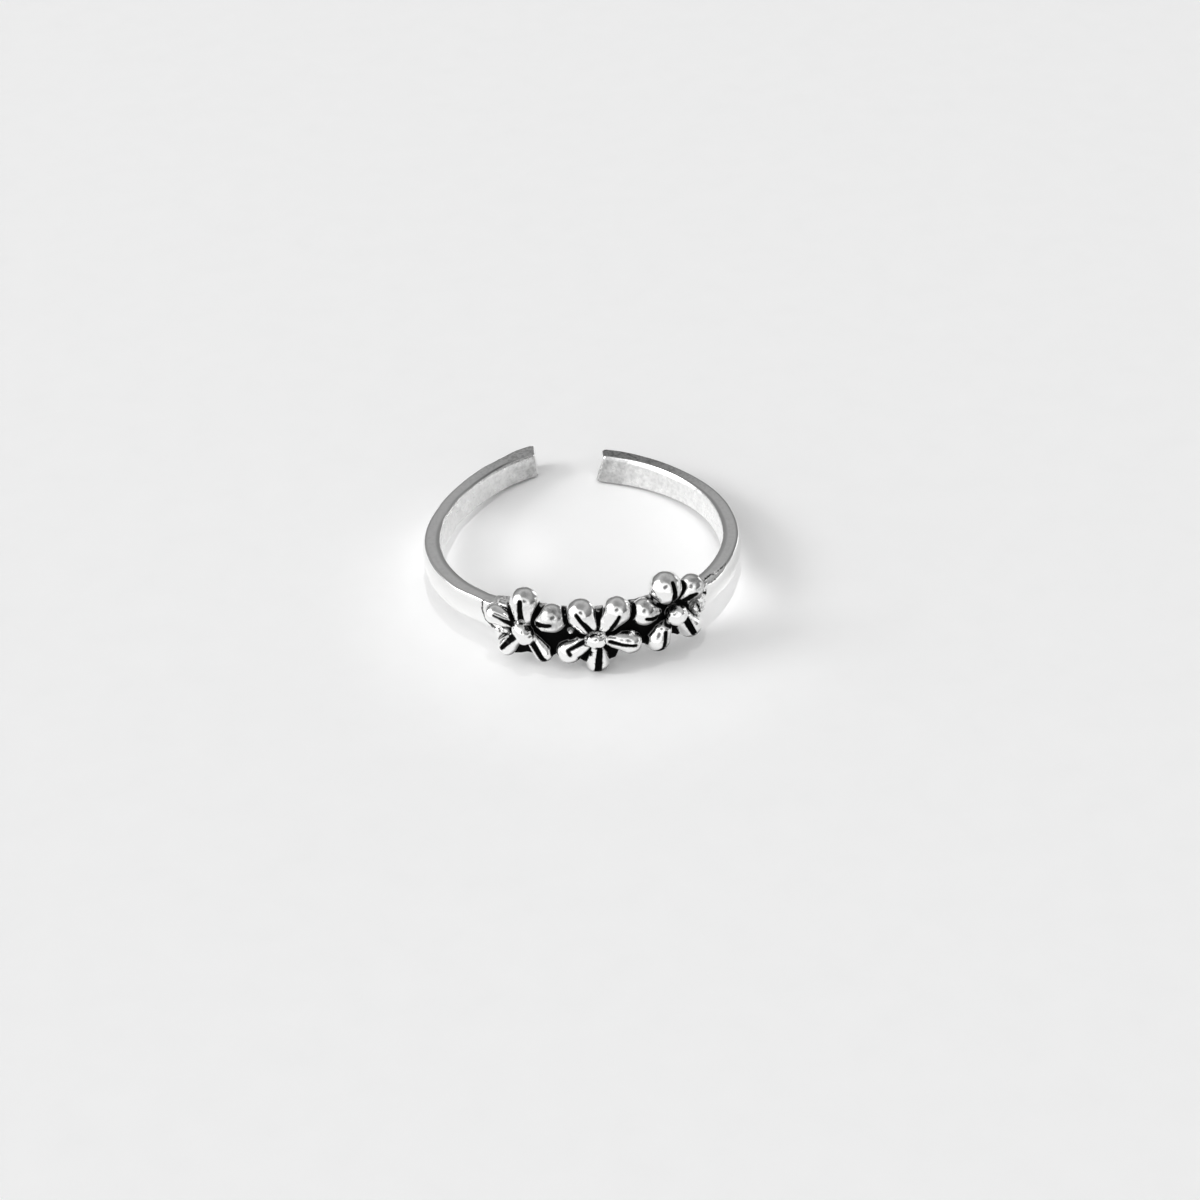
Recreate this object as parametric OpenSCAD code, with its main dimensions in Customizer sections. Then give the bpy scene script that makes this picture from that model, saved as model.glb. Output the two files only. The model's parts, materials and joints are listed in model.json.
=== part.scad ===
// Adjustable toe ring of cast silver: an open band with three five-petalled flowers on its front.
// It lies on a surface as it rests by itself, on one petal and on the lower edges of its two ends.

/* [Band] */
// Inside diameter of the round of the ring, where the toe goes
bore_d = 15.3; // [13:0.1:18]
// Wall thickness of the band at half height
band_t = 0.92; // [0.75:0.01:1.2]
// Height of the band
band_h = 1.5; // [1.2:0.1:2]
// Radius of the outer wall's bulge from the upper to the lower edge
bulge_r = 2.2; // [1.6:0.1:6]
// Width of the worn bevel along the inner edges
edge_bevel = 0.15; // [0.05:0.01:0.25]

/* [Opening] */
// Width of the opening between the ends at their upper edges
gap_top = 4.1; // [2.5:0.1:6]
// Width of the opening between the ends at their lower edges
gap_bottom = 3.4; // [2:0.1:5.5]
// Where the left arm leaves the round, in degrees from the right, seen from above
arm_from = 150; // [135:1:165]
// Inside radius of the straighter stretch of the left arm
arm_r = 9.8; // [9.1:0.1:14]

/* [Flowers] */
// Distance from a flower's centre to the centre of a petal's round tip
petal_reach = 1.7; // [1.5:0.05:2]
// Radius of a petal's round tip
petal_r = 0.7; // [0.55:0.01:0.8]
// Radius of a petal's narrow root
root_r = 0.2; // [0.12:0.01:0.3]
// Metal between the bore and the backs of the petals
petal_back = 0.3; // [0.15:0.05:0.5]
// Radius of the bead in the middle of a flower
bead_r = 0.56; // [0.4:0.01:0.7]
// Height of the bead's centre above the middle of the petals
bead_lift = 0.5; // [0.3:0.05:0.7]
// Width of the groove along a petal, at its inner end
groove_w = 0.3; // [0.2:0.02:0.36]
// Width of the groove along a petal, at its outer end
groove_end = 0.1; // [0.04:0.02:0.2]
// Place of the left flower, in degrees from the front
left_angle = -24; // [-30:0.5:-22]
// Place of the middle flower, in degrees from the front
middle_angle = 0.4; // [-1.6:0.2:2.4]
// Place of the right flower, in degrees from the front
right_angle = 28; // [22:0.5:32]

/* [Plate behind the flowers] */
// Thickness of the plate that the flowers stand on
plate_t = 0.95; // [0.75:0.05:1.3]
// How far the plate rises above the flowers' centres
plate_up = 1.1; // [0.9:0.05:1.4]
// How far the plate reaches below the flowers' centres
plate_down = 1.35; // [0.9:0.05:1.5]
// How far the plate reaches past the centres of the outer flowers
plate_end = 0.8; // [0.5:0.05:1.2]

/* [Hidden] */

// Columns of a flower: degrees from the front, height of its centre over the band's middle in
// band heights, size of its bead in bead radii, and its petals
AT = 0;
LIFT = 1;
BEAD = 2;
PETALS = 3;
// Columns of a petal: degrees clockwise from straight up, reach in petal reaches, and size of
// its tip in tip radii
TURN = 0;
REACH = 1;
SIZE = 2;
FLOWERS = [
    [left_angle, 0.07, 1,
        [[-2, 1, 1.03], [56, 0.95, 1.03], [152, 0.97, 0.9], [-146, 1.1, 0.93], [-78, 1.2, 1]]],
    [middle_angle, -0.07, 0.8,
        [[-27, 1, 1.05], [36, 1.1, 1], [108, 1.05, 0.9], [180, 1, 0.87], [-121, 0.92, 1.05]]],
    [right_angle, 0.35, 1,
        [[-9, 0.94, 1.1], [55, 0.93, 0.95], [146, 1.06, 0.85], [-149, 0.97, 0.87], [-72, 0.94, 1.05]]],
];
MIDDLE = FLOWERS[1];
LOWEST = MIDDLE[PETALS][3];

bore_r = bore_d / 2;
petal_axis = bore_r + petal_back + petal_r;
edge_t = band_t - bulge_r + sqrt(bulge_r * bulge_r - band_h * band_h / 4);
// The left arm's centre lies this far from the ring's, so that it leaves the round without a kink
arm_shift = bore_r - arm_r;
arm_centre = arm_shift * [cos(arm_from), sin(arm_from)];
// Both arms run to the middle of the opening, where the gap is then cut
round_sweep = 450 - arm_from;
arm_sweep = arm_from - acos(-arm_centre.x / arm_r);

// The ring rests on the lowest petal tip and on the rearmost lower edges of its ends
tip_r = petal_r * LOWEST[SIZE];
tip_y = -petal_axis;
tip_z = (MIDDLE[LIFT] - 0.5) * band_h - petal_reach * LOWEST[REACH];
end_x = gap_bottom / 2;
right_end_y = sqrt(pow(bore_r + edge_t, 2) - end_x * end_x);
left_end_y = arm_centre.y + sqrt(pow(arm_r + edge_t, 2) - pow(end_x + arm_centre.x, 2));
end_y = (right_end_y + left_end_y) / 2;
rest_tilt = atan((-band_h - tip_z) / (end_y - tip_y)) + asin(tip_r / norm([end_y - tip_y, -band_h - tip_z]));
rest_roll = atan((left_end_y - right_end_y) * sin(rest_tilt) / gap_bottom);
rest_height = tip_r + tip_y * sin(rest_tilt) - tip_z * cos(rest_tilt);
bead_front = petal_axis + bead_lift + bead_r * MIDDLE[BEAD];
middle_y = (bead_front - left_end_y) / 2;

slack = 0.01;
$fn = 96;

// Cross-section of the band, from its inner wall outwards and from its upper edge down
module band_profile(inner_r) {
    intersection() {
        translate([inner_r, -band_h]) square([band_t, band_h]);
        translate([inner_r + band_t - bulge_r, -band_h / 2]) circle(bulge_r);
    }
}

// Bevels for both inner edges of a stretch of the band
module inner_bevels(inner_r) {
    for (side = [0, 1])
        translate([0, 0, -band_h * side]) mirror([0, 0, side]) translate([0, 0, -edge_bevel])
            cylinder(h = edge_bevel + slack, r1 = inner_r, r2 = inner_r + edge_bevel + slack);
}

// Stretch of the band that starts on the X axis and turns about the origin
module band_stretch(inner_r, sweep) {
    difference() {
        rotate_extrude(angle = sweep) band_profile(inner_r);
        inner_bevels(inner_r);
    }
}

// The band: the round of the ring, and the left arm that carries on from it
module band() {
    rotate([0, 0, arm_from]) {
        band_stretch(bore_r, round_sweep);
        translate([arm_shift, 0, 0]) band_stretch(arm_r, -arm_sweep);
    }
}

// The opening between the ends, wider at its top
module gap() {
    deep = bore_d;
    translate([0, deep, 0]) rotate([90, 0, 0]) linear_extrude(deep) polygon([
        [-gap_bottom / 2, -band_h - slack], [gap_bottom / 2, -band_h - slack],
        [gap_top / 2, slack], [-gap_top / 2, slack]]);
}

// Moves a shape from the origin to a flower's place, with Z turned outwards and Y up
module at_flower(flower, radius) {
    rotate([0, 0, flower[AT]])
        translate([0, -radius, (flower[LIFT] - 0.5) * band_h])
            rotate([90, 0, 0]) children();
}

// Outline of the plate as seen from the front, which follows the flowers' centres
module plate_outline() {
    outer = bore_r + plate_t;
    centres = [for (f = FLOWERS) [outer * sin(f[AT]), (f[LIFT] - 0.5) * band_h]];
    last = len(centres) - 1;
    row = concat([centres[0] - [plate_end, 0]], centres, [centres[last] + [plate_end, 0]]);
    polygon(concat([for (c = row) c + [0, plate_up]],
                   [for (i = [last + 2:-1:0]) row[i] - [0, plate_down]]));
}

// The curved plate that the flowers stand on
module plate() {
    tall = 8 * (plate_up + plate_down);
    intersection() {
        difference() {
            cylinder(h = tall, r = bore_r + plate_t, center = true);
            cylinder(h = tall + slack, r = bore_r, center = true);
        }
        rotate([90, 0, 0]) linear_extrude(bore_d) plate_outline();
    }
}

// One teardrop petal from the flower's centre outwards along Y: a round tip, and a cone that
// widens from the root and dips into the tip just short of its centre
module petal(reach, tip_radius) {
    rotate([-90, 0, 0]) cylinder(h = reach - 0.3 * tip_radius, r1 = root_r, r2 = 0.95 * tip_radius);
    translate([0, reach, 0]) sphere(tip_radius);
}

// The groove down the middle of a petal, which runs out just past the crest of its tip
module groove(reach, tip_radius) {
    start = [0.28 * reach, 1.3 * root_r];
    run = [1.2 * reach, 0.95 * tip_radius] - start;
    translate([0, start[0], start[1]]) rotate([atan(run[1] / run[0]) - 90, 0, 0])
        cylinder(h = norm(run), r1 = groove_w / 2, r2 = groove_end / 2);
}

// Five grooved petals
module petals(flower) {
    for (p = flower[PETALS])
        rotate([0, 0, -p[TURN]]) difference() {
            petal(petal_reach * p[REACH], petal_r * p[SIZE]);
            groove(petal_reach * p[REACH], petal_r * p[SIZE]);
        }
}

// The bead in the middle of a flower, on a stalk that stands on the plate
module bead(flower) {
    size = bead_r * flower[BEAD];
    stalk = petal_axis + bead_lift - bore_r - plate_t / 2;
    translate([0, 0, bead_lift]) sphere(size);
    translate([0, 0, bead_lift - stalk]) cylinder(h = stalk, r = 0.75 * size);
}

module toe_ring() {
    color("silver")
        translate([0, middle_y, rest_height]) rotate([-rest_tilt, rest_roll, 0]) difference() {
            union() {
                band();
                plate();
                for (f = FLOWERS) at_flower(f, petal_axis) {
                    petals(f);
                    bead(f);
                }
            }
            gap();
        }
}

toe_ring();
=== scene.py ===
"""Adjustable toe ring of cast silver with three flowers, lying on a pale surface.

The ring is one fused casting. Its shape is a distance function in the ring's own frame, meshed on
a grid that is fine over the flowers and coarser along the plain band.
"""

import json
import math

import bpy
import numpy as np
from mathutils import Matrix, Vector


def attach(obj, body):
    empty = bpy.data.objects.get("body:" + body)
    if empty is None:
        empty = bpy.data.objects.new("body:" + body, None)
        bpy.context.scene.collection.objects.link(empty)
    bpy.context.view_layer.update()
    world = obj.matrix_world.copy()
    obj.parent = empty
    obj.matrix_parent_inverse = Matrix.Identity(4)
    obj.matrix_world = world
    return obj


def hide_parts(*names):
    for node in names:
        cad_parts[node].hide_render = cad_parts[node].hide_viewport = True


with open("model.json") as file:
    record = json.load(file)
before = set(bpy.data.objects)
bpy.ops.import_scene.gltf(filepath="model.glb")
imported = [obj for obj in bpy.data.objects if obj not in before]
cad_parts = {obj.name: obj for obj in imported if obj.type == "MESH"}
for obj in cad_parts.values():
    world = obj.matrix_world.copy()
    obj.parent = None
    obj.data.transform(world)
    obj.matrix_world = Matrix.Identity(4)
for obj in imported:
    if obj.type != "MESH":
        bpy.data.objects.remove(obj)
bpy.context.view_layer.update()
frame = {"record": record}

MM = 0.001

# Sizes of the ring in millimetres, in its own frame: the origin is in the middle of the round at
# half the height of the band, Z runs along the bore and the flowers are at -Y. Degrees from the
# front grow to the right
mount = frame["record"]["mounts"][0]
BORE_R = mount["dims"]["r_mm"]
# The band's height, and the radius of its outer wall from the upper to the lower edge
BAND_H = 1.5
BULGE_R = 2.2
# How far each end lies from the middle of the opening, at its upper and at its lower edge, and
# how round its corners are
LEFT_END = (1.91, 1.75)
RIGHT_END = (1.88, 1.40)
LEFT_CORNER_R = 0.24
RIGHT_CORNER_R = 0.18
# The right end's wall leans back by this much per millimetre of height, growing over these degrees
TWIST = 0.27
TWIST_SPAN = (115, 165)
# The left arm's wider round, and its stretch by angles from the right, seen from above
ARM_R = 9.8
ARM_FROM = math.radians(150)
ARM_TO = math.radians(81)
ARM_CENTRE = (BORE_R - ARM_R) * np.array([math.cos(ARM_FROM), math.sin(ARM_FROM)])
# Roundings of the band's inner edges, its outer edges and its bevel
INNER_EDGE_R = 0.09
OUTER_EDGE_R = 0.06
BEVEL_EDGE = 0.03
# Beside the right flower the outer edges are rounder by this: where that starts, is full, fades
# and ends, in degrees
WORN_ROUNDER = 0.24
WORN_SPAN = (45, 49, 55, 61)
# The worn band by degrees from the front: how far its wall is bent outwards from the plan
BEND = [
    (-170, 0.04), (-164, 0.01), (-160, -0.02), (-155, -0.04), (-150, -0.09), (-145, -0.15),
    (-140, -0.21), (-130, -0.28), (-120, -0.26), (-110, -0.32), (-100, -0.20), (-92, -0.09),
    (-85, -0.02), (-70, 0.05), (-55, 0.06), (-46, 0.0), (50, 0.05), (80, 0.05), (95, -0.03),
    (110, -0.08), (135, -0.24), (150, -0.25), (160, -0.25), (172, -0.15),
]
# How thick it is at half height
WALL = [
    (-170, 1.18), (-160, 1.16), (-155, 1.02), (-150, 0.98), (-145, 1.02), (-130, 0.97),
    (-120, 0.92), (-110, 0.98), (-85, 0.98), (-55, 0.97), (-45, 0.86), (-38, 0.92), (52, 0.98),
    (90, 0.99), (110, 0.96), (130, 0.90), (150, 0.88), (160, 0.95), (172, 0.90),
]
# The bevel on its inner upper edge: its leg along the top, and its slope
BEVEL = [
    (-170, 0.05, 0.45), (-125, 0.07, 0.45), (-116, 0.10, 0.5), (-110, 0.15, 0.5),
    (-104, 0.14, 0.5), (-96, 0.04, 0.5), (95, 0.03, 0.55), (112, 0.08, 0.55), (130, 0.13, 0.55),
    (143, 0.115, 0.55), (152, 0.10, 0.55), (160, 0.08, 0.55), (168, 0.06, 0.55),
]

# The plate behind the flowers, which gets thinner over these degrees towards its left end
PLATE_T = 0.95
PLATE_THINNER = 0.18
THINNER_SPAN = (34.5, 37)
PLATE_SPAN = (-44.0, 36.0)
PLATE_CORNER_R = 0.3
PLATE_EDGE_R = 0.12
# Its upper and lower edge, as pairs of degrees from the front and height
PLATE_TOP = [
    (-42, 0.7), (-40, 0.76), (-37, 0.88), (-35, 1.02), (-31, 1.14), (-24, 1.1), (0, 0.97),
    (14, 1.13), (24, 1.1), (28, 1.35),
]
PLATE_FOOT = [
    (-44, -0.6), (-37.5, -0.65), (-36, -1.2), (-28.4, -1.85), (-23.5, -1.6), (-14.6, -1.7),
    (-12.3, -1.33), (-9, -1.35), (-2.8, -1.95), (5.6, -1.9), (7.5, -1.8), (8.6, -1.38),
    (16, -1.25), (22, -1.4), (28.8, -1.2), (32, -1.45), (38, -1.0),
]

# The middles of the petals lie at this distance from the ring's axis
PETAL_AXIS = BORE_R + 1.0
# A petal's narrow root, and how far that is raised
ROOT_R = 0.24
ROOT_LIFT = 0.12
# Its waist: how far past the root, between which shares of the tip's reach, its radius by the
# tip's, and how far it is raised
ROOT_TO_WAIST = 0.42
WAIST_SPAN = (0.58, 0.84)
WAIST_R_SHARE = 0.78
WAIST_LIFT = 0.03
# Beads: their depth by their width, and the stalk's radius by the bead's and half its length
BEAD_DEPTH_SHARE = 0.8
STALK_R_SHARE = 0.75
STALK_HALF = 0.6
# Widths of the fillets where parts meet, and of the roundings at the edges of grooves and pits
FILLET = 0.05
PETAL_FILLET = 0.03
WAIST_FILLET = 0.04
CRUMB_FILLET = 0.08
HOLLOW_EDGE = 0.04
# Bumps of the cast surfaces: their height, how far apart they are, and a seed
PLATE_BUMPS = (0.05, 0.9, 3)
CRUMB_BUMPS = (0.03, 0.25, 4)
BEAD_BUMPS = (0.03, 0.8, 5)
PETAL_BUMPS = (0.008, 0.9, 6)


def petal_row(tip, r, wide, line, root=0.15, cap=0.0, out=0.0):
    """One petal of a flower.

    tip and r: centre and radius of its round tip, and out: how far that stands out
    line and wide: the line of its groove, and the groove's radius at both ends of it
    root: how far from the flower's centre it starts
    cap: how strongly painted shade greys the upper right of its tip
    """
    return dict(tip=(*tip, out), r=r, wide=wide, line=line, root=root, cap=cap)


# A flower is its degrees from the front, the height of its centre over the band's middle, its
# bead and its petals, in millimetres in its own frame, X to the right, Y up and Z outwards. A
# bead is its centre, its two half widths and the turn of the wider one
FLOWERS = [
    dict(at=-24.0, lift=0.105, bead=dict(at=(0.08, -0.08, 0.52), size=(0.70, 0.50), turn=-58), petals=[
        petal_row((0.02, 1.54), 0.79, (0.18, 0.12),
                  [(0.03, 0.45, 0.46), (0.05, 1.20, 0.78), (0.03, 1.92, 0.68)], cap=0.35),
        petal_row((1.52, 0.85), 0.77, (0.17, 0.10),
                  [(0.80, 0.60, 0.46), (1.25, 0.76, 0.70), (1.66, 0.86, 0.76)], root=0.95, cap=0.7),
        petal_row((1.00, -1.42), 0.52, (0.17, 0.14), [(0.46, -0.60, 0.42), (1.20, -1.70, 0.44)]),
        petal_row((-1.00, -1.44), 0.52, (0.26, 0.10),
                  [(-0.40, -0.34, 0.40), (-0.80, -0.84, 0.47), (-1.17, -1.36, 0.45)]),
        petal_row((-1.66, 0.42), 0.53, (0.20, 0.06),
                  [(-0.44, 0.20, 0.42), (-1.00, 0.43, 0.52), (-1.56, 0.66, 0.52)], root=0.6),
    ]),
    dict(at=0.4, lift=-0.105, bead=dict(at=(0.00, -0.10, 0.50), size=(0.52, 0.41), turn=-15), petals=[
        petal_row((-0.73, 1.34), 0.80, (0.18, 0.09),
                  [(-0.10, 0.21, 0.40), (-0.57, 1.05, 0.74), (-1.02, 1.68, 0.68)], root=0.3, cap=0.2),
        petal_row((1.14, 1.38), 0.76, (0.17, 0.08),
                  [(0.60, 0.18, 0.38), (0.93, 0.85, 0.66), (1.20, 1.45, 0.74)], root=0.4, cap=0.3),
        petal_row((1.82, -0.62), 0.63, (0.10, 0.07),
                  [(0.74, -0.26, 0.44), (1.40, -0.45, 0.56), (2.08, -0.54, 0.54)], cap=0.2),
        petal_row((0.10, -1.67), 0.63, (0.16, 0.19),
                  [(0.24, -0.62, 0.42), (0.15, -1.29, 0.58), (0.08, -2.10, 0.48)]),
        petal_row((-1.33, -0.95), 0.68, (0.13, 0.10),
                  [(-0.56, -0.14, 0.44), (-1.08, -0.36, 0.55), (-1.49, -0.56, 0.60),
                   (-1.36, -0.80, 0.68)]),
    ]),
    dict(at=28.0, lift=0.525, bead=dict(at=(0.07, -0.15, 0.56), size=(0.60, 0.58), turn=0), petals=[
        petal_row((-0.34, 1.46), 0.87, (0.20, 0.12),
                  [(-0.22, 0.80, 0.64), (-0.30, 1.40, 0.85), (-0.28, 2.02, 0.66)],
                  root=0.9, cap=0.35, out=0.04),
        petal_row((1.34, 0.84), 0.68, (0.30, 0.15),
                  [(0.66, 0.24, 0.44), (0.98, 0.60, 0.58), (1.22, 0.70, 0.66)],
                  root=0.85, cap=0.7, out=-0.06),
        petal_row((1.20, -1.48), 0.68, (0.18, 0.15), [(0.68, -0.70, 0.46), (1.12, -1.70, 0.64)]),
        petal_row((-0.80, -1.60), 0.69, (0.10, 0.13),
                  [(-0.62, -1.00, 0.56), (-0.72, -1.45, 0.68), (-0.80, -1.85, 0.65),
                   (-1.08, -2.14, 0.38)], root=0.8, cap=0.3),
        petal_row((-1.62, 0.42), 0.72, (0.26, 0.09),
                  [(-0.60, -0.10, 0.40), (-1.00, 0.10, 0.58), (-1.86, 0.40, 0.66)], root=0.9, cap=0.8),
    ]),
]
# The rest is given by degrees from the front, height and distance from the ring's axis.
# Stray beads of metal left by the casting, with their radii
CRUMBS = [
    (-8.0, 0.12, 8.72, 0.13), (21.5, 1.50, 8.90, 0.12), (19.1, 1.46, 8.86, 0.13),
    (2.7, 0.05, 9.10, 0.15), (12.9, -0.10, 8.96, 0.13), (38.3, 0.05, 8.84, 0.28),
    (39.6, -0.36, 8.74, 0.28), (37.2, -0.48, 8.78, 0.24), (40.6, 0.36, 8.78, 0.25),
    (41.9, -0.04, 8.62, 0.30), (43.6, 0.34, 8.50, 0.26), (43.2, -0.50, 8.46, 0.28),
    (45.4, 0.58, 8.42, 0.20), (-32.0, -0.42, 8.68, 0.18), (-30.4, -0.30, 8.80, 0.15),
    (-34.4, -0.55, 8.60, 0.16),
]
# Pits, with their radii
PITS = [(53.8, 0.75, 8.38, 0.14), (47.6, 0.78, 8.28, 0.12), (-31.2, -0.10, 8.90, 0.12)]
# Black lines and spots outside the grooves, with their radii
STAINS = [
    ([(-41.7, 0.80, 8.40), (-41.5, 0.27, 8.54), (-39.8, -0.28, 8.56), (-37.3, -0.67, 8.50)], 0.06),
    ([(-39.0, -0.22, 8.58), (-37.6, -0.46, 8.58), (-36.1, -0.67, 8.55)], 0.11),
    ([(-39.5, 0.49, 8.58), (-39.2, 0.58, 8.58)], 0.06),
    ([(-33.4, -0.58, 8.62), (-32.6, -0.70, 8.66)], 0.09),
    ([(20.9, 1.76, 8.68), (21.2, 1.42, 8.65)], 0.15),
    ([(47.3, 0.75, 8.22), (49.5, 0.75, 8.25), (51.8, 0.75, 8.24), (53.6, 0.75, 8.37)], 0.07),
    ([(53.8, 0.75, 8.38), (56.5, 0.75, 8.42), (61.0, 0.74, 8.48)], 0.035),
    ([(48.5, 0.66, 8.56), (52.0, 0.62, 8.56)], 0.03),
    ([(42.5, 0.62, 8.72), (44.6, 0.30, 8.72), (45.3, 0.45, 8.68)], 0.08),
    ([(42.2, 0.32, 8.86), (42.4, 0.26, 8.80)], 0.07),
    ([(38.0, 0.32, 9.00), (38.4, 0.03, 9.08), (39.4, -0.24, 9.02)], 0.09),
    ([(35.1, -0.22, 9.02), (37.6, -0.44, 9.00)], 0.10),
    ([(41.2, -0.20, 8.92), (42.0, -0.50, 8.80)], 0.07),
    ([(-4.9, -1.24, 9.12), (-3.4, -1.22, 9.15), (-2.0, -1.02, 9.10)], 0.22),
]
# The flowers, the plate and all that is black lie within this of the front
FRONT_SPAN = math.radians(62)


def ring_matrix():
    """Carries the ring's own frame in millimetres to the scene in metres, as the CAD part lies."""
    up = Vector(mount["axis"]).normalized()
    right = Vector((up.z, 0.0, -up.x)).normalized()
    back = up.cross(right)
    turn = Matrix((right, back, up)).transposed().to_4x4()
    return Matrix.Translation(Vector(mount["pos_m"])) @ turn @ Matrix.Scale(MM, 4)


# Distance functions: each takes an array of N points and gives N distances, negative inside


def smooth_min(a, b, k):
    """Union of two shapes with a fillet about k wide."""
    h = np.clip(0.5 + 0.5 * (b - a) / k, 0.0, 1.0)
    return b + (a - b) * h - k * h * (1.0 - h)


def smooth_max(a, b, k):
    """Overlap of two shapes with an edge rounded about k wide."""
    return -smooth_min(-a, -b, k)


def rounded_corner(a, b, r):
    """Overlap of two half spaces, with the corner between them rounded to radius r."""
    qa, qb = a + r, b + r
    outside = np.hypot(np.maximum(qa, 0.0), np.maximum(qb, 0.0))
    return outside + np.minimum(np.maximum(qa, qb), 0.0) - r


def round_cone(p, a, b, ra, rb):
    """Two balls and the cone that wraps them."""
    ba = b - a
    l2 = float(ba @ ba)
    rr = ra - rb
    a2 = l2 - rr * rr
    pa = p - a
    y = pa @ ba
    z = y - l2
    x2 = ((pa * l2 - y[:, None] * ba) ** 2).sum(1)
    k = math.copysign(1.0, rr) * rr * rr * x2
    body = (np.sqrt(np.maximum(x2 * a2 / l2, 0.0)) + y * rr) / l2 - ra
    far = np.sqrt(x2 + z * z * l2) / l2 - rb
    near = np.sqrt(x2 + y * y * l2) / l2 - ra
    past_end = np.sign(z) * a2 * z * z * l2 > k
    before_start = np.sign(y) * a2 * y * y * l2 < k
    return np.where(past_end, far, np.where(before_start, near, body))


def tube(p, line, start_r, end_r):
    """A tube along a line of points, with a radius that changes evenly from end to end."""
    line = np.array(line)
    steps = np.linalg.norm(np.diff(line, axis=0), axis=1)
    along = np.concatenate([[0.0], np.cumsum(steps)]) / steps.sum()
    radii = np.interp(along, [0.0, 1.0], [start_r, end_r])
    parts = [round_cone(p, line[i], line[i + 1], radii[i], radii[i + 1]) for i in range(len(steps))]
    return np.minimum.reduce(parts)


def waves(p, size, seed):
    """Smooth irregular bumps between about -1 and 1, roughly size millimetres apart."""
    turns = np.array([[0.36, 0.48, -0.8], [-0.8, 0.6, 0.0], [0.48, 0.64, 0.6]])
    q = (p @ turns.T.astype(p.dtype)) * (2.0 * math.pi / size)
    s = seed * 1.7
    return (np.sin(q[:, 0] + 1.3 * np.sin(q[:, 1] * 0.7 + s) + s)
            * np.cos(q[:, 1] * 1.1 + 0.9 * np.sin(q[:, 2] * 0.8 + s))
            + 0.5 * np.sin(q[:, 2] * 1.9 + q[:, 0] + 2.0 * s)) / 1.5


def bumps(p, row):
    """Waves by a row such as PLATE_BUMPS."""
    height, size, seed = row
    return height * waves(p, size, seed)


def front_angle(p):
    """Angle from the front, positive to the right, in radians."""
    return np.arctan2(p[:, 0], -p[:, 1])


def ease(x, lo, hi):
    """Goes smoothly from 0 at lo to 1 at hi, which may be the smaller one."""
    t = np.clip((x - lo) / (hi - lo), 0.0, 1.0)
    return t * t * (3.0 - 2.0 * t)


def ease_degrees(angle, lo, hi):
    """The same for an angle in radians, between two in degrees."""
    return ease(angle, math.radians(lo), math.radians(hi))


def by_degrees(table, column, phi):
    """A column of a table whose first column is degrees from the front."""
    return np.interp(np.degrees(phi), [row[0] for row in table], [row[column] for row in table])


def wall_depth(p):
    """How far a point lies outside the inner wall of the band, which leans back at the right end."""
    round_depth = np.hypot(p[:, 0], p[:, 1]) - BORE_R
    arm_depth = np.hypot(p[:, 0] - ARM_CENTRE[0], p[:, 1] - ARM_CENTRE[1]) - ARM_R
    angle = np.arctan2(p[:, 1], p[:, 0])
    on_arm = (angle > ARM_TO) & (angle < ARM_FROM)
    phi = front_angle(p)
    lean = TWIST * ease_degrees(phi, *TWIST_SPAN)
    return np.where(on_arm, arm_depth, round_depth - lean * p[:, 2]) - by_degrees(BEND, 1, phi)


def band_ends(p):
    """How far a point lies inside the opening, past the nearer end of the band."""
    share = np.clip(p[:, 2] / BAND_H + 0.5, 0.0, 1.0)
    left = p[:, 0] + LEFT_END[1] + (LEFT_END[0] - LEFT_END[1]) * share
    right = RIGHT_END[1] + (RIGHT_END[0] - RIGHT_END[1]) * share - p[:, 0]
    return np.where(p[:, 1] > 0.0, np.where(p[:, 0] < 0.0, left, right), -1.0)


def band(p):
    """The plain band, open at the back, with its edges and ends rounded by wear."""
    depth = wall_depth(p)
    z = p[:, 2]
    phi = front_angle(p)
    thick = by_degrees(WALL, 1, phi)
    outer = depth - thick + z * z / (2.0 * BULGE_R)
    faces = np.abs(z) - BAND_H / 2.0
    start, full, fading, end = WORN_SPAN
    worn = ease_degrees(phi, start, full) * ease_degrees(phi, end, fading)
    shell = np.where(depth < thick / 2.0,
                     rounded_corner(-depth, faces, INNER_EDGE_R),
                     rounded_corner(outer, faces, OUTER_EDGE_R + WORN_ROUNDER * worn))
    slope = by_degrees(BEVEL, 2, phi)
    bevel = (z - BAND_H / 2.0) * slope - depth + by_degrees(BEVEL, 1, phi)
    shell = smooth_max(shell, bevel / np.hypot(1.0, slope), BEVEL_EDGE)
    corner_r = np.where(p[:, 0] < 0.0, LEFT_CORNER_R, RIGHT_CORNER_R)
    return rounded_corner(shell, band_ends(p), corner_r)


def plate_outline(p):
    """Distance to the plate's outline, seen from the front."""
    phi = np.degrees(front_angle(p))
    top = p[:, 2] - np.interp(phi, *zip(*PLATE_TOP))
    foot = np.interp(phi, *zip(*PLATE_FOOT)) - p[:, 2]
    side = np.radians(np.maximum(PLATE_SPAN[0] - phi, phi - PLATE_SPAN[1])) * BORE_R
    return rounded_corner(np.maximum(top, foot), side, PLATE_CORNER_R)


def plate(p):
    """The curved plate behind the flowers, with the rough edge of a casting."""
    r = np.hypot(p[:, 0], p[:, 1])
    thick = PLATE_T - PLATE_THINNER * ease_degrees(-front_angle(p), *THINNER_SPAN)
    faces = np.maximum(BORE_R - r, r - BORE_R - thick)
    return rounded_corner(plate_outline(p) + bumps(p, PLATE_BUMPS), faces, PLATE_EDGE_R)


def flower_local(p, flower):
    """Points in the flower's own frame: X to the right, Y up and Z outwards."""
    a = math.radians(flower["at"])
    x = p[:, 0] * math.cos(a) + p[:, 1] * math.sin(a)
    z = p[:, 0] * math.sin(a) - p[:, 1] * math.cos(a) - PETAL_AXIS
    y = p[:, 2] - flower["lift"]
    return np.stack([x, y, z], axis=1)


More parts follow.
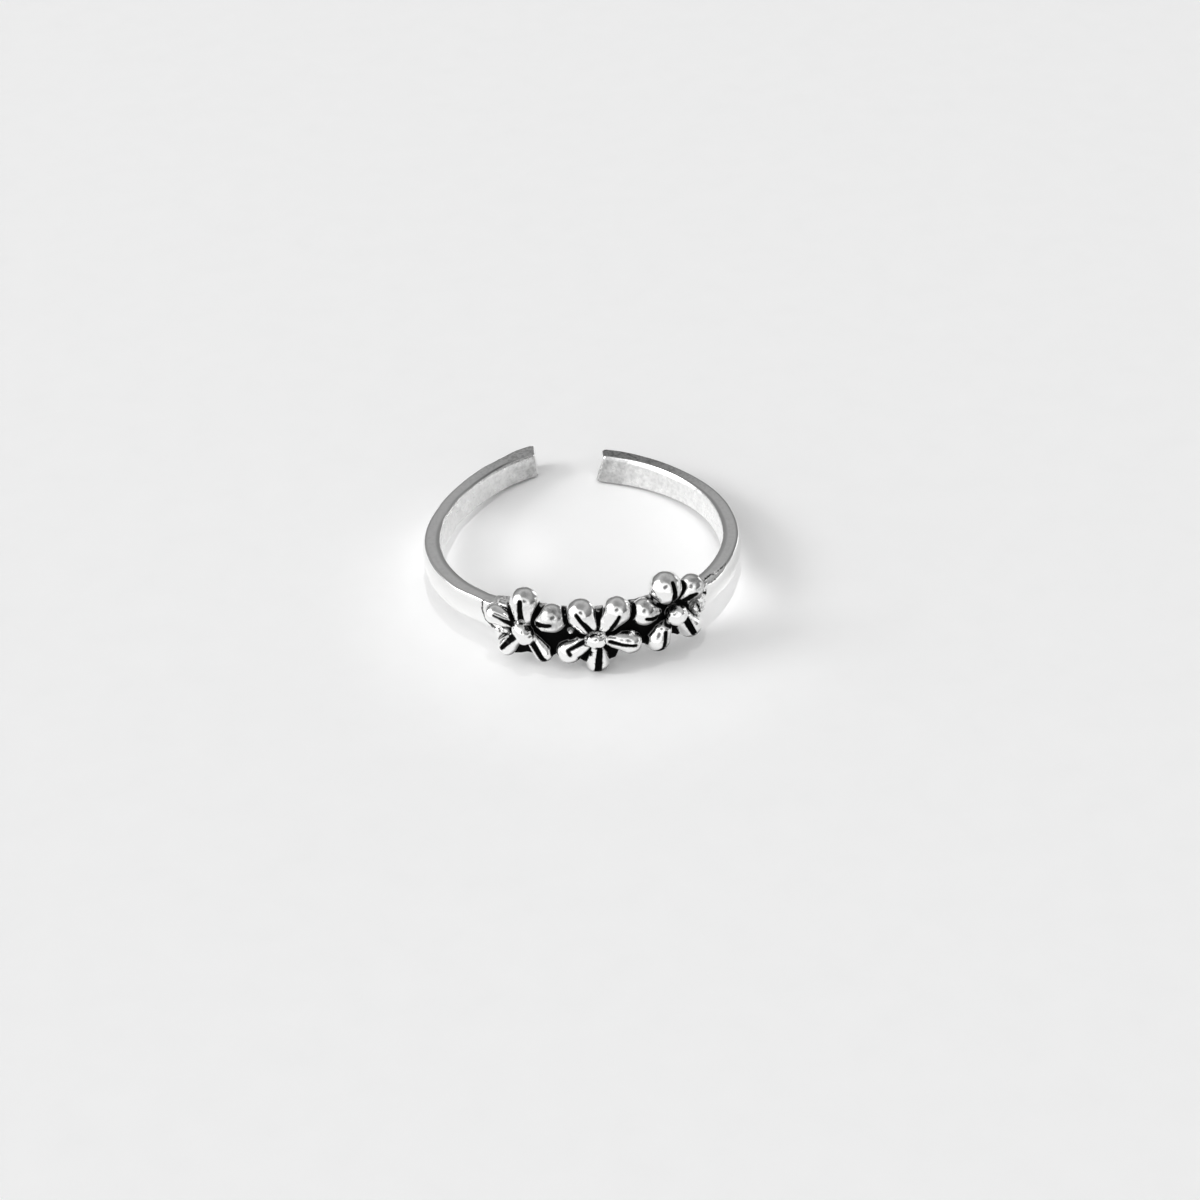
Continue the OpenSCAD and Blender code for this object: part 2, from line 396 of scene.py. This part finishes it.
def petal_body(q, petal):
    """A plump drop: from a narrow raised root over a waist to the round tip."""
    tip = np.array(petal["tip"])
    reach = np.linalg.norm(tip)
    root = petal["root"] * (tip / reach) + np.array([0.0, 0.0, ROOT_LIFT])
    waist_share = np.clip((petal["root"] + ROOT_TO_WAIST) / reach, *WAIST_SPAN)
    waist = waist_share * tip + np.array([0.0, 0.0, WAIST_LIFT])
    waist_r = WAIST_R_SHARE * petal["r"]
    return smooth_min(round_cone(q, root, waist, ROOT_R, waist_r),
                      round_cone(q, waist, tip, waist_r, petal["r"]), WAIST_FILLET)


def groove(q, petal):
    """The groove down the middle of a petal."""
    return tube(q, petal["line"], *petal["wide"])


def bead(q, flower):
    """The bead on its stalk: a slightly lopsided ball."""
    row = flower["bead"]
    wide, tall = row["size"]
    turn = math.radians(row["turn"])
    x = q[:, 0] - row["at"][0]
    y = q[:, 1] - row["at"][1]
    along = (x * math.cos(turn) + y * math.sin(turn)) / wide
    across = (y * math.cos(turn) - x * math.sin(turn)) / tall
    out = (q[:, 2] - row["at"][2]) / (BEAD_DEPTH_SHARE * ((wide + tall) / 2.0))
    ball = (np.sqrt(along ** 2 + across ** 2 + out ** 2) - 1.0) * tall
    stalk = np.maximum(np.hypot(along, across) * tall - STALK_R_SHARE * tall,
                       np.abs(q[:, 2]) - STALK_HALF)
    return smooth_min(ball, stalk, FILLET) + bumps(q, BEAD_BUMPS)


def flower_solid(p, flower):
    """Five grooved petals and the bead."""
    q = flower_local(p, flower)
    out = bead(q, flower)
    for petal in flower["petals"]:
        grooved = smooth_max(petal_body(q, petal), -groove(q, petal), HOLLOW_EDGE)
        out = smooth_min(out, grooved, PETAL_FILLET)
    return out + bumps(q, PETAL_BUMPS)


def spot(degrees, height, radius):
    """The point at a place of a table such as CRUMBS."""
    a = math.radians(degrees)
    return np.array([radius * math.sin(a), -radius * math.cos(a), height])


def balls(p, rows):
    """Small balls at the places of a table such as CRUMBS."""
    return np.minimum.reduce([np.linalg.norm(p - spot(*row[:3]), axis=1) - row[3] for row in rows])


def flower_front(p):
    """The plate with the flowers on it."""
    d = plate(p)
    for flower in FLOWERS:
        d = smooth_min(d, flower_solid(p, flower), FILLET)
    return np.maximum(d, BORE_R - np.hypot(p[:, 0], p[:, 1]))


def ring(p):
    """The whole ring. The flowers are only worked out where they can reach."""
    d = band(p)
    near = np.flatnonzero(np.abs(front_angle(p)) < FRONT_SPAN)
    q = p[near]
    front = smooth_min(d[near], flower_front(q), FILLET)
    front = smooth_min(front, balls(q, CRUMBS) + bumps(q, CRUMB_BUMPS), CRUMB_FILLET)
    d[near] = smooth_max(front, -balls(q, PITS), HOLLOW_EDGE)
    return d


# Meshing.
PHI_STOPS = [-169, -47, 58, 172]
R_STOPS = [7.2, 10.15]
Z_STOPS = [-2.8, 3.05]
COARSE = 0.25
FINE = 0.055
# Steps along the band are measured at this distance from the axis
STEP_R = 8.7


def graded(stops, steps):
    """Grid positions through the stops, with a step of its own between each pair."""
    out = [np.array([stops[0]])]
    for lo, hi, step in zip(stops[:-1], stops[1:], steps):
        n = max(1, round((hi - lo) / step))
        out.append(np.linspace(lo, hi, n + 1)[1:])
    return np.concatenate(out)


def cylinder_points(phi, r, z):
    """Points by their angle from the front, distance from the axis and height."""
    return np.stack([r * np.sin(phi), -r * np.cos(phi), z], axis=-1)


def surface_net(values, axes):
    """Vertices and quads of the zero surface of a grid of distances."""
    inside = values < 0.0
    n = np.array(values.shape)
    count = np.zeros(n - 1, dtype=np.int8)
    for i in (0, 1):
        for j in (0, 1):
            for k in (0, 1):
                count += inside[i:n[0] - 1 + i, j:n[1] - 1 + j, k:n[2] - 1 + k]
    active = (count > 0) & (count < 8)
    index = np.full(active.shape, -1, dtype=np.int64)
    cells = np.argwhere(active)
    index[active] = np.arange(len(cells))

    unit = np.eye(3, dtype=int)
    total = np.zeros((len(cells), 3))
    hits = np.zeros(len(cells))
    for axis in range(3):
        others = [o for o in range(3) if o != axis]
        for i in (0, 1):
            for j in (0, 1):
                corner = cells.copy()
                corner[:, others[0]] += i
                corner[:, others[1]] += j
                v0 = values[tuple(corner.T)]
                v1 = values[tuple((corner + unit[axis]).T)]
                cross = (v0 < 0.0) != (v1 < 0.0)
                t = np.where(cross, v0 / np.where(cross, v0 - v1, 1.0), 0.0)
                total += (corner + t[:, None] * unit[axis]) * cross[:, None]
                hits += cross
    spots = total / hits[:, None]
    verts = np.stack([np.interp(spots[:, a], np.arange(n[a]), axes[a]) for a in range(3)], axis=1)

    quads = []
    for axis in range(3):
        u, v = (axis + 1) % 3, (axis + 2) % 3
        lo = [slice(None)] * 3
        hi = [slice(None)] * 3
        lo[axis], hi[axis] = slice(0, -1), slice(1, None)
        edges = np.argwhere(inside[tuple(lo)] != inside[tuple(hi)])
        keep = (edges[:, u] > 0) & (edges[:, u] < n[u] - 1) & (edges[:, v] > 0) & (edges[:, v] < n[v] - 1)
        edges = edges[keep]
        around = [edges, edges - unit[u], edges - unit[u] - unit[v], edges - unit[v]]
        quad = np.stack([index[tuple(c.T)] for c in around], axis=1)
        starts_inside = inside[tuple(edges.T)]
        quad[starts_inside] = quad[starts_inside][:, ::-1]
        quads.append(quad)
    return verts, np.concatenate(quads)


def normals_of(p, step=0.01):
    """Unit directions in which the distance grows."""
    out = np.empty_like(p)
    for axis in range(3):
        shift = np.zeros(3)
        shift[axis] = step
        out[:, axis] = ring(p + shift) - ring(p - shift)
    return out / np.maximum(np.linalg.norm(out, axis=1, keepdims=True), 1e-9)


def build_ring():
    """Vertices and quads of the ring, with the vertices moved onto its exact surface."""
    fine = FINE
    phi = graded(np.radians(PHI_STOPS), np.array([COARSE, fine, COARSE]) / STEP_R)
    r = graded(R_STOPS, [fine])
    z = graded(Z_STOPS, [fine])
    grid = np.stack(np.meshgrid(phi, r, z, indexing="ij"), axis=-1).reshape(-1, 3).astype(np.float32)
    points = cylinder_points(grid[:, 0], grid[:, 1], grid[:, 2])
    values = ring(points).reshape(len(phi), len(r), len(z))
    verts, quads = surface_net(values, (phi, r, z))
    verts = cylinder_points(verts[:, 0], verts[:, 1], verts[:, 2])
    for _ in range(2):
        verts = verts - normals_of(verts) * ring(verts)[:, None]
    return verts, quads


# Finish and painted shade: shares between 0 and 1 at each vertex, kept as attributes of the mesh
# for its material. A pair of numbers is where a share starts and where it is full, in millimetres
# unless said otherwise. The black and the painted shade on the petal tips have irregular edges,
# by waves of this row
EDGE_BUMPS = (1.0, 0.35, 8)
# Black on the plate: by distance out from the petals' axis, by distance outside the plate's
# outline, and by place across the ring
PLATE_FACE = (0.08, 0.02)
PLATE_BORDER = (0.05, -0.03)
PLATE_LEFT = (-4.48, -4.34)
PLATE_ROUGH = 0.03
# Black in grooves, which leaves the beads clean: by distance outside them. A bead counts from
# where it stands out of the petals' roots
IN_GROOVE = (0.035, 0.005)
OFF_BEAD = (0.06, 0.10)
BEAD_OUT = (-0.05, 0.1)
# Black in narrow gaps: the radius of a ball that probes them, and the share of it kept off
PROBE_R = 0.35
PINCHED = (0.40, 0.58)
PINCHED_ROUGH = 0.04
# Black at the stains, with the bumps of their edges
IN_STAIN = (0.02, -0.02)
STAIN_BUMPS = (0.05, 0.14, 11)
# All that black stops short of the wall that lies on the toe, and is worn off the stray beads
OFF_BORE = (0.04, 0.12)
OFF_CRUMB = (0.02, 0.08)
CRUMB_BLACK = 0.3
# Painted shade below the petals, standing in for the shadowed floor that they mirror: how strong
# it is, how far it turns to the right, and by the facing, the distance outside a petal and the
# distance out from the bore
PAINTED_SHADE_UNDER_PETAL = 0.75
UNDER_TO_RIGHT = 0.35
UNDER_FACING = (0.32, 0.62)
UNDER_NEAR = (0.12, 0.06)
UNDER_OUT = (0.8, 0.9)
# Painted shade on the lower inner edge of the plain band, standing in for the shadowed floor that it
# mirrors: how strong it is, and by the facing, the depth in the wall and the degrees from the front
FOOT_PAINTED_SHADE = 0.7
FOOT_FACING = (0.25, 0.6)
FOOT_DEPTH = (0.4, 0.3)
FOOT_SPAN = (47, 50)
# Painted shade on the upper right of the petals' tips, away from the window light: the direction that
# it faces in the flower's own frame, its limits along that in radii of the tip, and by distance
# outside the tip
CAP_FACING = np.array([0.50, 0.55, 0.67])
CAP_SPAN = (0.45, 0.85)
CAP_NEAR = (0.12, 0.06)
CAP_ROUGH = 0.12
# The satin upper face: by the facing, by the depth in the wall, and by height, up to a limit that
# is higher where the plate runs out on the left
TOP_FACING = (0.7, 0.92)
TOP_DEPTH = (1.2, 1.1)
TOP_LIMIT = 0.9
TOP_HIGHER = 0.3
TOP_HIGHER_SPAN = (34, 37)
TOP_FADE = 0.1
# How dull that face is along its inner and its outer edge, by degrees from the front, and how
# far in from both edges that reaches
RIM = [
    (-170, 0.3, 0.8), (-158, 0.5, 0.6), (-150, 1.0, 0.3), (-140, 0.8, 0.3), (-125, 0.5, 0.3),
    (-95, 0.5, 0.3), (-45, 0.5, 0.3), (50, 0.5, 0.6), (62, 0.4, 0.7), (100, 0.5, 0.5),
    (125, 0.6, 0.6), (145, 0.7, 0.9), (170, 0.6, 1.0),
]
INNER_RIM = (0.34, 0.16)
OUTER_RIM = (-0.30, -0.20)
# The inner wall: by the facing and the depth in the wall
WALL_FACING = (0.5, 0.8)
WALL_DEPTH = (0.08, 0.04)
# Towards the ends, in degrees from the front
TO_RIGHT = (100, 160)
TO_LEFT = (125, 165)
TO_END = (145, 168)


def reach_of(p, normals, ball):
    """How far a ball of that radius is kept off each point by the metal around it, in radii."""
    return (ball - ring(p + normals * ball)) / ball


def flower_parts(p):
    """Distances to the nearest groove, petal and bead."""
    grooves = np.full(len(p), np.inf)
    petals = np.full(len(p), np.inf)
    beads = np.full(len(p), np.inf)
    for flower in FLOWERS:
        q = flower_local(p, flower)
        beads = np.minimum(beads, bead(q, flower) + 1.0 - ease(q[:, 2], *BEAD_OUT))
        for petal in flower["petals"]:
            grooves = np.minimum(grooves, groove(q, petal))
            petals = np.minimum(petals, petal_body(q, petal))
    return grooves, petals, beads


def blackness(p, normals, rough):
    """Black on the plate, in grooves, narrow gaps and stains, and painted shade below the petals."""
    r = np.hypot(p[:, 0], p[:, 1])
    out = r - BORE_R
    from_axis = r - PETAL_AXIS - PLATE_ROUGH * rough
    on_plate = (ease(from_axis, *PLATE_FACE) * ease(plate_outline(p), *PLATE_BORDER)
                * ease(p[:, 0], *PLATE_LEFT))
    grooves, petals, beads = flower_parts(p)
    off_bead = ease(beads, *OFF_BEAD)
    in_groove = ease(grooves, *IN_GROOVE) * off_bead
    pinched = ease(reach_of(p, normals, PROBE_R) + PINCHED_ROUGH * rough, *PINCHED) * off_bead
    shade = np.maximum.reduce([on_plate, in_groove, pinched]) * ease(out, *OFF_BORE)
    shade *= CRUMB_BLACK + (1.0 - CRUMB_BLACK) * ease(balls(p, CRUMBS), *OFF_CRUMB)
    # Painted shade: the lower right of each petal is darkened as if mirroring the shadowed floor
    facing = UNDER_TO_RIGHT * normals[:, 0] - normals[:, 2]
    under = (PAINTED_SHADE_UNDER_PETAL * ease(facing, *UNDER_FACING) * ease(petals, *UNDER_NEAR)
             * ease(out, *UNDER_OUT))
    stains = np.minimum.reduce([tube(p, [spot(*place) for place in line], wide, wide)
                                for line, wide in STAINS])
    stained = ease(stains - bumps(p, STAIN_BUMPS), *IN_STAIN)
    return np.maximum.reduce([shade, under, stained])


def painted_cap_shade(p, rough):
    """Painted shade: how far the upper right of each petal's tip is greyed, away from the window light.
    """
    out = np.zeros(len(p))
    for flower in FLOWERS:
        q = flower_local(p, flower)
        for petal in flower["petals"]:
            from_tip = q - np.array(petal["tip"])
            facing = from_tip @ CAP_FACING / petal["r"] + CAP_ROUGH * rough
            near = ease(np.linalg.norm(from_tip, axis=1) - petal["r"], *CAP_NEAR)
            out = np.maximum(out, petal["cap"] * ease(facing, *CAP_SPAN) * near)
    return out


def finish_and_painted_shade(p, normals):
    """The share of each finish and painted shade at each point, by the name of the mesh's attribute."""
    phi = front_angle(p)
    depth = wall_depth(p)
    rough = bumps(p, EDGE_BUMPS)
    front = np.flatnonzero(np.abs(phi) < FRONT_SPAN)
    black = np.zeros(len(p))
    black[front] = blackness(p[front], normals[front], rough[front])
    # Painted shade along the band's lower inner edge, where it would mirror the shadowed floor
    foot = FOOT_PAINTED_SHADE * ease(-normals[:, 2], *FOOT_FACING) * ease(depth, *FOOT_DEPTH)
    black = np.maximum(black, foot * ease_degrees(np.abs(phi), *FOOT_SPAN))
    # Painted shade on the upper right of the petal tips
    caps = np.zeros(len(p))
    caps[front] = painted_cap_shade(p[front], rough[front])

    limit = TOP_LIMIT + TOP_HIGHER * ease_degrees(-phi, *TOP_HIGHER_SPAN)
    satin = (ease(normals[:, 2], *TOP_FACING) * ease(np.abs(p[:, 2]), limit, limit - TOP_FADE)
             * ease(depth, *TOP_DEPTH))
    inner_rim = by_degrees(RIM, 1, phi) * ease(depth, *INNER_RIM)
    outer_rim = by_degrees(RIM, 2, phi) * ease(depth - by_degrees(WALL, 1, phi), *OUTER_RIM)
    to_axis = normals[:, 1] * np.cos(phi) - normals[:, 0] * np.sin(phi)
    return dict(
        black=black,
        painted_cap_shade=caps,
        satin=satin,
        rim=satin * np.maximum(inner_rim, outer_rim),
        inner=ease(to_axis, *WALL_FACING) * ease(depth, *WALL_DEPTH),
        to_right=ease_degrees(phi, *TO_RIGHT),
        to_left=ease_degrees(-phi, *TO_LEFT),
        end=ease_degrees(np.abs(phi), *TO_END),
    )


def ring_object():
    """The ring's mesh in the scene, with its finish, its painted shade and its exact normals."""
    verts, quads = build_ring()
    normals = normals_of(verts)
    mesh = bpy.data.meshes.new("silver_ring")
    mesh.from_pydata(verts.tolist(), [], quads.tolist())
    mesh.validate()
    for name, shares in finish_and_painted_shade(verts, normals).items():
        layer = mesh.attributes.new(name, "FLOAT", "POINT")
        layer.data.foreach_set("value", shares.astype(np.float32))

    matrix = ring_matrix()
    mesh.transform(matrix)
    turned = normals @ np.array(matrix.to_3x3().normalized()).T
    mesh.shade_smooth()
    mesh.normals_split_custom_set_from_vertices(turned.tolist())
    obj = bpy.data.objects.new("silver_ring", mesh)
    bpy.context.scene.collection.objects.link(obj)
    return obj


# Materials


class Nodes:
    """Small helper that adds and links the nodes of one material."""

    def __init__(self, name):
        self.material = bpy.data.materials.new(name)
        self.material.use_nodes = True
        self.tree = self.material.node_tree
        self.shader = self.tree.nodes["Principled BSDF"]

    def add(self, kind, inputs=(), **settings):
        node = self.tree.nodes.new(kind)
        for key, value in settings.items():
            setattr(node, key, value)
        for key, value in dict(inputs).items():
            self.put(node.inputs[key], value)
        return node

    def put(self, socket, value):
        if isinstance(value, bpy.types.NodeSocket):
            self.tree.links.new(value, socket)
        else:
            socket.default_value = value

    def attribute(self, name):
        return self.add("ShaderNodeAttribute", attribute_name=name).outputs["Fac"]

    def mix(self, share, a, b):
        node = self.add("ShaderNodeMix", {"Factor": share}, data_type="FLOAT")
        self.put(node.inputs[2], a)
        self.put(node.inputs[3], b)
        return node.outputs[0]

    def mix_color(self, share, a, b):
        node = self.add("ShaderNodeMix", data_type="RGBA")
        self.put(node.inputs[0], share)
        self.put(node.inputs[6], a)
        self.put(node.inputs[7], b)
        return node.outputs[2]

    def math(self, operation, a, b):
        node = self.add("ShaderNodeMath", operation=operation)
        self.put(node.inputs[0], a)
        self.put(node.inputs[1], b)
        return node.outputs[0]

    def plus(self, a, b):
        return self.math("ADD", a, b)

    def times(self, a, b):
        return self.math("MULTIPLY", a, b)

    def larger(self, a, b):
        return self.math("MAXIMUM", a, b)

    def noise(self, scale, detail):
        place = self.add("ShaderNodeTexCoord").outputs["Object"]
        inputs = {"Scale": scale, "Detail": detail, "Vector": place}
        return self.add("ShaderNodeTexNoise", inputs).outputs["Fac"]

    def ramp(self, value, lo, hi):
        node = self.add("ShaderNodeMapRange", {"Value": value, "From Min": lo, "From Max": hi},
                        interpolation_type="SMOOTHSTEP")
        return node.outputs["Result"]

    def bump(self, strength, distance, height, **inputs):
        inputs.update({"Strength": strength, "Distance": distance, "Height": height})
        return self.add("ShaderNodeBump", inputs).outputs["Normal"]


def grey(value):
    """An opaque grey."""
    return (value, value, value, 1.0)


SILVER = (0.97, 0.97, 0.965, 1.0)
DULL_SILVER = grey(0.24)
# Black of the oxide in the hollows, also the colour of the painted shade below petals and band edge
OXIDE_AND_SHADE_BLACK = grey(0.0015)
# Noise by its scale in waves per metre and its detail, and the part of it that counts
GRAIN = (14000.0, 3.0)
SPECKLE = (5200.0, 4.0)
SPECKLE_PART = (0.42, 0.66)
BLOTCH = (1900.0, 3.0)
BLOTCH_PART = (0.35, 0.65)
PATCH = (600.0, 2.0)
# Roughness: of the polished metal from patch to patch, of the satin face, of the inner wall
# between and in its blotches, and of what is black
POLISHED_ROUGH = (0.10, 0.22)
SATIN_ROUGH = 0.34
INNER_ROUGH = (0.26, 0.45)
BLACK_ROUGH = 0.8
# Dullness of the upper face: of its speckles at the front and at the ends, and all over at either end
TOP_SPECKLE = (0.10, 0.35)
TOP_AT_RIGHT = 0.66
TOP_AT_LEFT = 0.24
# Dullness of the inner wall: of its speckles at the front and at the ends, of its blotches at the
# front, on the left and on the right, and all over at the last of either end
INNER_SPECKLE = (0.08, 0.16)
INNER_BLOTCH = (0.06, 0.16, 0.26)
INNER_AT_END = 0.45
# Greying by the painted shade on the petal tips, between its speckles, outside and in the blotches
CAP_SHADE_GREY = (0.25, 0.75)
# Depth of the bumps in metres, and their strength: of the grain all over, and of the blotches on
# the polished metal and on the inner wall
GRAIN_DEPTH = 0.00001
GRAIN_BUMP = 0.3
BLOTCH_DEPTH = 0.00003
BLOTCH_BUMP = (0.10, 0.4)
SILVER_SPECULAR = 0.05
FLOOR_SIZE = 2.0
FLOOR_TONES = (grey(0.925), grey(0.965))
FLOOR_NOISE = (500.0, 4.0)
FLOOR_ROUGH = 0.9
FLOOR_SPECULAR = 0.1


def silver_material():
    """Polished silver, satin, dull or black where the attributes say so; partly that is painted shade."""
    m = Nodes("silver")
    black = m.attribute("black")
    satin = m.attribute("satin")
    inner = m.attribute("inner")
    to_right = m.attribute("to_right")
    to_left = m.attribute("to_left")
    to_ends = m.larger(to_right, to_left)
    speckle = m.ramp(m.noise(*SPECKLE), *SPECKLE_PART)
    blotch = m.ramp(m.noise(*BLOTCH), *BLOTCH_PART)

    top_ends = m.plus(m.times(to_right, TOP_AT_RIGHT), m.times(to_left, TOP_AT_LEFT))
    top_dull = m.plus(m.times(speckle, m.mix(to_ends, *TOP_SPECKLE)), top_ends)
    top_dull = m.larger(top_dull, m.attribute("rim"))
    at_front, at_left, at_right = INNER_BLOTCH
    blotch_dull = m.mix(to_right, m.mix(to_left, at_front, at_left), at_right)
    inner_dull = m.plus(m.times(speckle, m.mix(to_ends, *INNER_SPECKLE)), m.times(blotch, blotch_dull))
    inner_dull = m.plus(inner_dull, m.times(m.attribute("end"), INNER_AT_END))
    # Painted shade: grey on the upper right of the petal tips
    cap_dull = m.times(m.attribute("painted_cap_shade"), m.mix(speckle, m.mix(blotch, *CAP_SHADE_GREY), 1.0))
    dull = m.plus(m.times(satin, top_dull), m.times(inner, inner_dull))
    dull = m.math("MINIMUM", m.larger(dull, cap_dull), 1.0)
    silver = m.mix_color(dull, SILVER, DULL_SILVER)

    rough = m.mix(m.noise(*PATCH), *POLISHED_ROUGH)
    rough = m.mix(satin, rough, SATIN_ROUGH)
    rough = m.mix(inner, rough, m.mix(blotch, *INNER_ROUGH))
    rough = m.mix(black, rough, BLACK_ROUGH)
    grain_normal = m.bump(GRAIN_BUMP, GRAIN_DEPTH, m.noise(*GRAIN))
    normal = m.bump(m.mix(inner, *BLOTCH_BUMP), BLOTCH_DEPTH, blotch, Normal=grain_normal)
    # The black share is oxide in the hollows, and painted shade below the petals and along the band's
    # foot
    m.put(m.shader.inputs["Base Color"], m.mix_color(black, silver, OXIDE_AND_SHADE_BLACK))
    m.put(m.shader.inputs["Metallic"], m.math("SUBTRACT", 1.0, black))
    m.put(m.shader.inputs["Roughness"], rough)
    m.put(m.shader.inputs["Normal"], normal)
    m.put(m.shader.inputs["Specular IOR Level"], SILVER_SPECULAR)
    return m.material


def floor_object():
    """The pale surface that the ring lies on."""
    bpy.ops.mesh.primitive_plane_add(size=FLOOR_SIZE, location=(0, 0, 0))
    floor = bpy.context.object
    floor.name = "floor"
    m = Nodes("floor")
    m.put(m.shader.inputs["Base Color"], m.mix_color(m.noise(*FLOOR_NOISE), *FLOOR_TONES))
    m.put(m.shader.inputs["Roughness"], FLOOR_ROUGH)
    m.put(m.shader.inputs["Specular IOR Level"], FLOOR_SPECULAR)
    floor.data.materials.append(m.material)
    return floor


# Light: grey surroundings with bright and dark patches, a window on the left, a fill from the
# front, and three soft spots for the light that the silver throws on the floor. The surroundings
# are given by height, from the horizon to straight up
SKY = [
    (0.0, 0.06), (0.10, 0.12), (0.22, 0.19), (0.35, 0.23), (0.52, 0.31), (0.62, 0.46),
    (0.80, 0.42), (1.0, 0.27),
]
# Round patches on them: direction of the middle, degrees to where the patch starts to fade and to
# its edge, and brightness
PATCHES = [
    ((-0.30, -0.92, 0.25), 45.0, 62.0, 1.03),
    ((-0.86, -0.12, 0.50), 26.0, 36.0, 1.5),
    ((-0.05, -0.76, 0.64), 11.0, 19.0, 0.14),
    ((0.72, 0.68, 0.10), 7.0, 11.0, 1.8),
    ((0.97, 0.18, 0.06), 8.0, 12.0, 1.2),
]
SURROUNDINGS_STRENGTH = 1.12
# Height and source radius of the soft spots in metres, and the share of their lit radius where
# they have fallen to half
GLOW_HEIGHT = 0.25
GLOW_SOURCE_R = 0.001
GLOW_HALF = 0.7


def world_patch(tree, coord, under, direction, inner, outer, value):
    """Paints a round patch of the surroundings over what is under it."""
    dot = tree.nodes.new("ShaderNodeVectorMath")
    dot.operation = "DOT_PRODUCT"
    dot.inputs[1].default_value = Vector(direction).normalized()
    tree.links.new(coord.outputs["Generated"], dot.inputs[0])
    share = tree.nodes.new("ShaderNodeMapRange")
    share.interpolation_type = "SMOOTHSTEP"
    share.inputs["From Min"].default_value = math.cos(math.radians(outer))
    share.inputs["From Max"].default_value = math.cos(math.radians(inner))
    tree.links.new(dot.outputs["Value"], share.inputs["Value"])
    over = tree.nodes.new("ShaderNodeMix")
    over.data_type = "RGBA"
    tree.links.new(share.outputs["Result"], over.inputs[0])
    tree.links.new(under, over.inputs[6])
    over.inputs[7].default_value = grey(value)
    return over.outputs[2]


def world_light():
    """The surroundings, as SKY and PATCHES give them."""
    world = bpy.data.worlds.new("world")
    bpy.context.scene.world = world
    world.use_nodes = True
    tree = world.node_tree
    coord = tree.nodes.new("ShaderNodeTexCoord")
    split = tree.nodes.new("ShaderNodeSeparateXYZ")
    tree.links.new(coord.outputs["Generated"], split.inputs[0])
    sky = tree.nodes.new("ShaderNodeValToRGB")
    while len(sky.color_ramp.elements) < len(SKY):
        sky.color_ramp.elements.new(0.5)
    for element, (height, value) in zip(sky.color_ramp.elements, SKY):
        element.position = height
        element.color = grey(value)
    tree.links.new(split.outputs["Z"], sky.inputs["Fac"])
    light = sky.outputs["Color"]
    for direction, inner, outer, value in PATCHES:
        light = world_patch(tree, coord, light, direction, inner, outer, value)
    background = tree.nodes["Background"]
    tree.links.new(light, background.inputs["Color"])
    background.inputs["Strength"].default_value = SURROUNDINGS_STRENGTH


def area_light(name, place, size, power, mirrored=True):
    """A round lamp that shines at the ring, and that the silver mirrors unless told not to."""
    lamp = bpy.data.lights.new(name, "AREA")
    lamp.shape = "DISK"
    lamp.size = size
    lamp.energy = power
    obj = bpy.data.objects.new(name, lamp)
    obj.location = Vector(place)
    obj.rotation_euler = (-Vector(place)).to_track_quat("-Z", "Y").to_euler()
    obj.visible_glossy = mirrored
    bpy.context.scene.collection.objects.link(obj)


def floor_glow(name, place, radius, power):
    """A soft spot from straight above, which the silver doesn't show.

    The place and the radius, where it has fallen to half, are in millimetres on the floor.
    """
    lamp = bpy.data.lights.new(name, "SPOT")
    lamp.spot_size = 2.0 * math.atan(radius * MM / GLOW_HALF / GLOW_HEIGHT)
    lamp.spot_blend = 1.0
    lamp.shadow_soft_size = GLOW_SOURCE_R
    lamp.energy = power
    obj = bpy.data.objects.new(name, lamp)
    obj.location = (place[0] * MM, place[1] * MM, GLOW_HEIGHT)
    obj.visible_glossy = False
    bpy.context.scene.collection.objects.link(obj)


# Camera, as fitted to the photograph: the point on the floor that it looks at and its distance
# from there are in millimetres
PHOTO_PX = 1200
FOCAL_PX = 2600
LOOK_TURN = math.radians(3.877)
LOOK_DOWN = math.radians(40.085)
LOOK_ROLL = math.radians(-1.581)
LOOK_AT = (0.731, -2.957, 0.0)
LOOK_FROM = 139.88
NEAREST = 0.005


def photo_camera():
    """The camera that sees the ring as the photograph does."""
    data = bpy.data.cameras.new("camera")
    data.sensor_width = 36.0
    data.lens = data.sensor_width * FOCAL_PX / PHOTO_PX
    data.clip_start = NEAREST
    camera = bpy.data.objects.new("camera", data)
    bpy.context.scene.collection.objects.link(camera)
    level = math.cos(LOOK_DOWN)
    ahead = Vector((math.sin(LOOK_TURN) * level, math.cos(LOOK_TURN) * level, -math.sin(LOOK_DOWN)))
    camera.location = Vector(LOOK_AT) * MM - ahead * (LOOK_FROM * MM)
    turn = ahead.to_track_quat("-Z", "Y").to_matrix() @ Matrix.Rotation(LOOK_ROLL, 3, "Z")
    camera.rotation_euler = turn.to_euler()
    bpy.context.scene.camera = camera


silver_ring = ring_object()
silver_ring.data.materials.append(silver_material())
floor = floor_object()
world_light()
area_light("window", place=(-1.80, -0.06, 0.98), size=0.80, power=14.0)
area_light("fill", place=(0.30, -1.40, 1.10), size=2.0, power=4.9, mirrored=False)
floor_glow("glow_around", place=(1.0, -2.5), radius=11.0, power=0.24)
floor_glow("glow_inside", place=(-5.6, 1.8), radius=3.6, power=0.42)
floor_glow("glow_right", place=(8.2, -3.6), radius=1.9, power=0.55)
photo_camera()
bpy.context.scene.view_settings.view_transform = "Standard"

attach(silver_ring, "root")
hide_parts("toe_ring")
